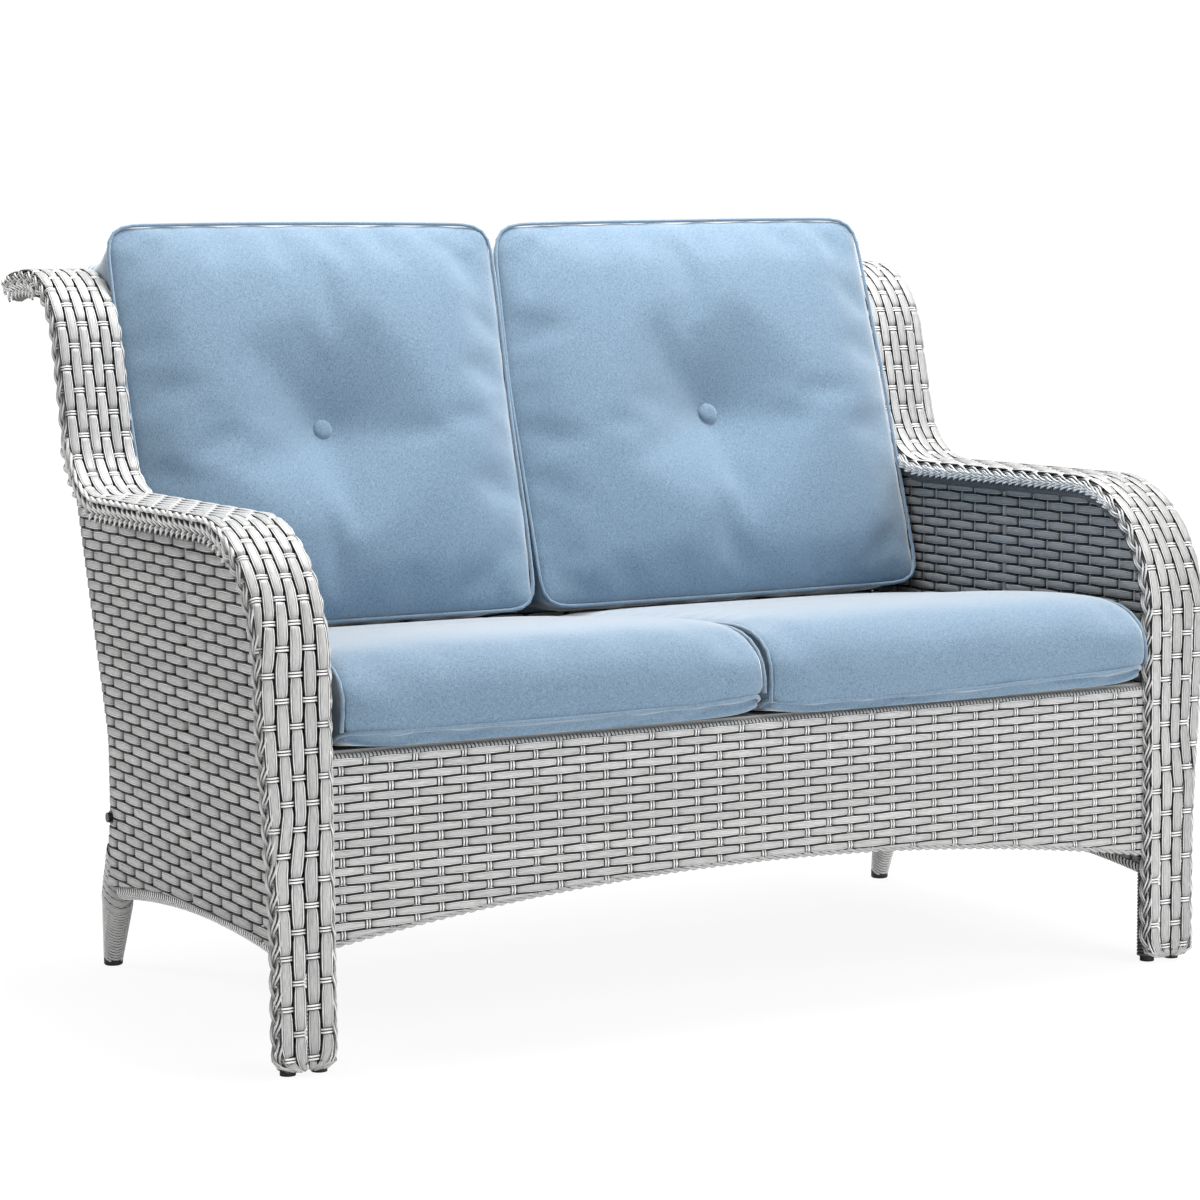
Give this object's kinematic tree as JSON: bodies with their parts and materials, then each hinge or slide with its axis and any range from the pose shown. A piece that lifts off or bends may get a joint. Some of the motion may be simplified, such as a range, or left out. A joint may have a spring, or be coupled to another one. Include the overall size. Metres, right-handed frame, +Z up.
{
  "type": "patio loveseat",
  "caption": "Two-seat outdoor wicker sofa: woven arm bands curve over the arms and scroll back at the wings, arched apron, two seat cushions and two buttoned back cushions.",
  "frame": {"origin": "centre of the overall box's base, on the floor", "axes": "+X along the seat, to the right as seen from the front, -Y towards the front edge of the seat, +Z up"},
  "size_m": [1.328, 0.9078, 0.9751],
  "materials": {
    "resin_wicker": "flat and round woven strands, satin, fine grain along each strand",
    "coated_steel": "powder coated tube, satin",
    "black_plastic": "moulded, satin",
    "black_screw": "black coated, satin",
    "cushion_cloth": "heathered outdoor cloth with piped seams"
  },
  "bodies": {
    "frame": {"arm_band_l": "resin_wicker", "arm_band_r": "resin_wicker", "rail_wrap_inner_l": "resin_wicker", "rail_wrap_inner_r": "resin_wicker", "rail_wrap_outer_l": "resin_wicker", "rail_wrap_outer_r": "resin_wicker", "post_edge_wrap_l": "resin_wicker", "post_edge_wrap_r": "resin_wicker", "side_rail_l": "resin_wicker", "side_rail_r": "resin_wicker", "rear_leg_wrap_l": "resin_wicker", "rear_leg_wrap_r": "resin_wicker", "side_skin_outer_l": "resin_wicker", "side_skin_outer_r": "resin_wicker", "side_skin_inner_l": "resin_wicker", "side_skin_inner_r": "resin_wicker", "apron_skin": "resin_wicker", "apron_arch_rail": "resin_wicker", "seat_deck": "resin_wicker", "back_top_wrap": "resin_wicker", "back_bottom_wrap": "resin_wicker", "back_skin_front": "resin_wicker", "back_skin_rear": "resin_wicker", "arm_rail_inner_l": "coated_steel", "arm_rail_inner_r": "coated_steel", "arm_rail_outer_l": "coated_steel", "arm_rail_outer_r": "coated_steel", "rail_rungs_l": "coated_steel", "rail_rungs_r": "coated_steel", "rear_post_l": "coated_steel", "rear_post_r": "coated_steel", "mid_upright_l": "coated_steel", "mid_upright_r": "coated_steel", "side_seat_bar_l": "coated_steel", "side_seat_bar_r": "coated_steel", "seat_side_rail_l": "coated_steel", "seat_side_rail_r": "coated_steel", "back_upright_l": "coated_steel", "back_upright_r": "coated_steel", "apron_top_rail": "coated_steel", "seat_rear_rail": "coated_steel", "seat_cross_bars": "coated_steel", "back_centre_upright": "coated_steel", "back_top_rail": "coated_steel", "back_bottom_rail": "coated_steel", "front_plugs": "black_plastic", "scroll_plugs": "black_plastic", "rear_feet": "black_plastic", "seat_spacers": "black_plastic", "seat_bolts": "black_screw", "back_bolts": "black_screw", "back_bolt_washers": "black_screw"},
    "seat_cushion_l": {"seat_cushion_l": "cushion_cloth"},
    "back_cushion_l": {"back_cushion_l": "cushion_cloth", "back_buttons_l": "cushion_cloth"},
    "seat_cushion_r": {"seat_cushion_r": "cushion_cloth"},
    "back_cushion_r": {"back_cushion_r": "cushion_cloth", "back_buttons_r": "cushion_cloth"}
  },
  "joints": [
    {"name": "seat_cushion_l_lift_off", "type": "slide", "parent": "frame", "child": "seat_cushion_l", "axis": [0, -0.9986, 0.0523], "range_m": [0, 0.25]},
    {"name": "seat_cushion_r_lift_off", "type": "slide", "parent": "frame", "child": "seat_cushion_r", "axis": [0, -0.9986, 0.0523], "range_m": [0, 0.25]},
    {"name": "back_cushion_l_lift_off", "type": "slide", "parent": "frame", "child": "back_cushion_l", "axis": [0, 0.3156, 0.9489], "range_m": [0, 0.3]},
    {"name": "back_cushion_r_lift_off", "type": "slide", "parent": "frame", "child": "back_cushion_r", "axis": [0, 0.3156, 0.9489], "range_m": [0, 0.3]}
  ]
}
